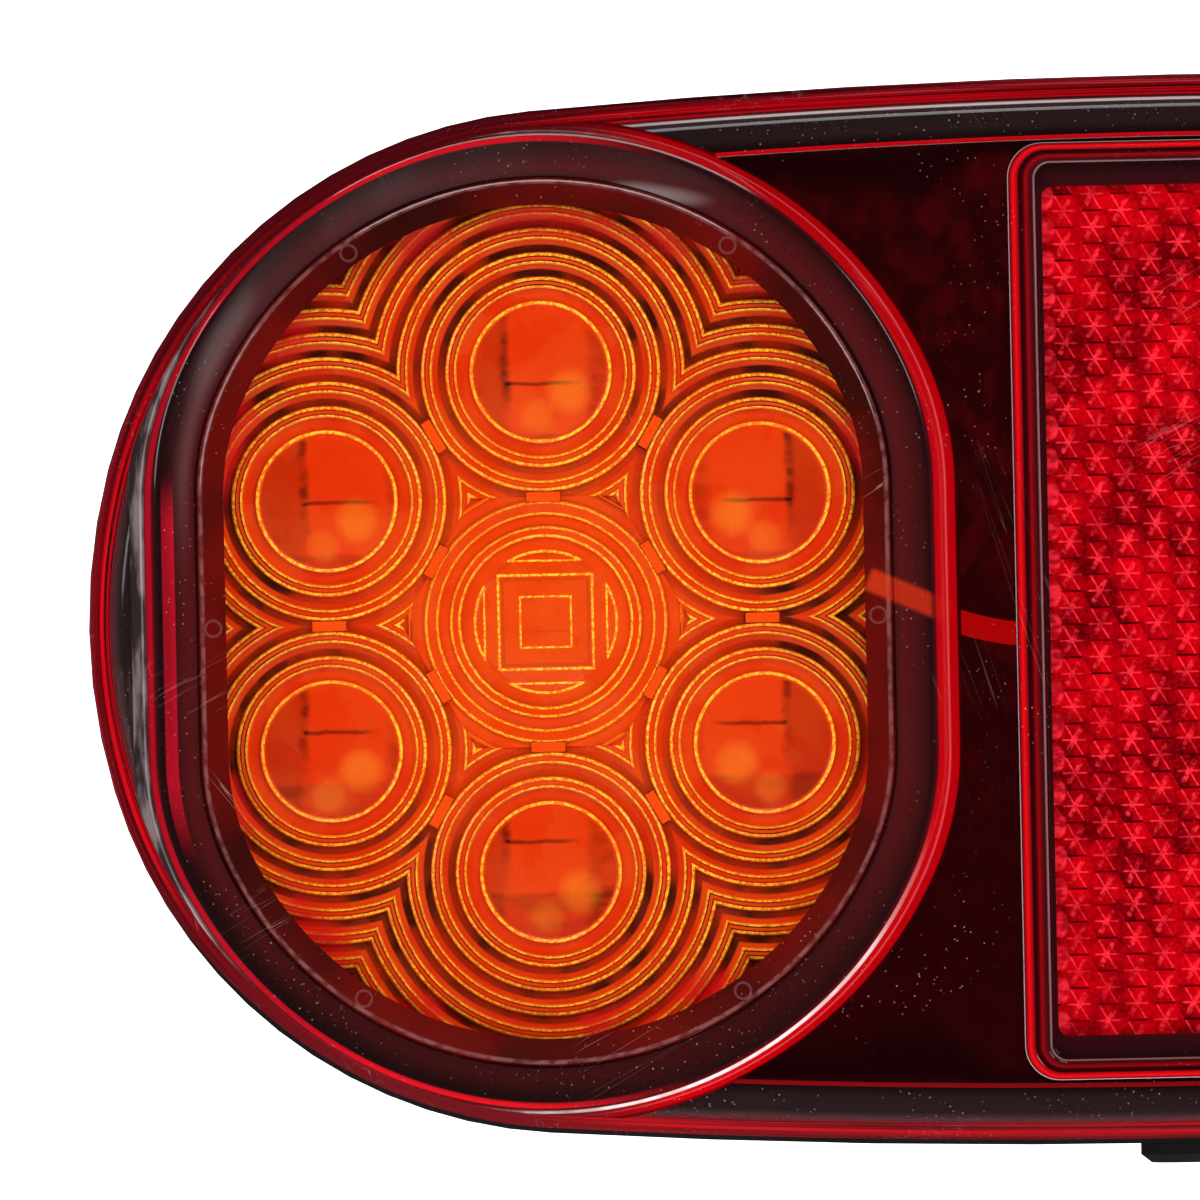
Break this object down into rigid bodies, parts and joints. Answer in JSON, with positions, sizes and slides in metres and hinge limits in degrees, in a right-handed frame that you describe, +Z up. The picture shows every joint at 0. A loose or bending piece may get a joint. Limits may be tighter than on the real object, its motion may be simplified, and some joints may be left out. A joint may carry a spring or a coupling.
{
  "type": "trailer tail light",
  "caption": "Sealed oval LED trailer lamp with an amber turn module, a red reflex reflector and a red stop and tail module on a black stud-mounted base.",
  "frame": {"origin": "centre of the back mounting face", "axes": "+Y out of the back face towards the vehicle, -Y the way the lamp shines, +X the lamp's right as seen from in front, +Z up"},
  "size_m": [0.2082, 0.0556, 0.1037],
  "materials": {
    "black_plastic": "satin",
    "foam": "matte",
    "sealant": "satin",
    "red_lens": "clear gloss",
    "red_cap": "clear gloss",
    "amber_lens": "clear gloss",
    "amber_optic": "clear gloss",
    "red_optic": "clear gloss",
    "dark_bezel": "satin",
    "board": "satin",
    "led_clear": "clear gloss",
    "resistor": "satin",
    "black_epoxy": "satin",
    "red_reflector": "clear gloss",
    "white_plastic": "satin",
    "zinc_steel": "bright zinc",
    "brass": "satin",
    "wire_red": "satin",
    "wire_white": "satin",
    "wire_green": "satin",
    "wire_brown": "satin",
    "rubber": "matte"
  },
  "bodies": {
    "root": {"base_housing": "black_plastic", "foam_gasket": "foam", "sealant_bead": "sealant", "outer_lens": "red_lens", "turn_lens": "amber_lens", "turn_optic": "amber_optic", "turn_bezel": "dark_bezel", "turn_led_board": "board", "turn_leds": "led_clear", "turn_resistors": "resistor", "turn_board_screws": "zinc_steel", "stop_lens": "red_cap", "stop_optic": "red_optic", "stop_bezel": "dark_bezel", "stop_led_board": "board", "stop_leds": "led_clear", "stop_resistors": "resistor", "stop_board_screws": "zinc_steel", "polarity_diodes": "black_epoxy", "reflex_reflector": "red_reflector", "reflector_backing": "white_plastic", "terminal_block": "white_plastic", "terminal_screws": "zinc_steel", "terminal_clamps": "brass", "turn_feed_wire": "wire_red", "turn_earth_wire": "wire_white", "stop_feed_wire": "wire_green", "tail_feed_wire": "wire_brown", "stop_earth_wire": "wire_white", "stud_left": "zinc_steel", "stud_right": "zinc_steel", "cable_grommet": "rubber", "vent_plug": "black_plastic"}
  },
  "joints": []
}
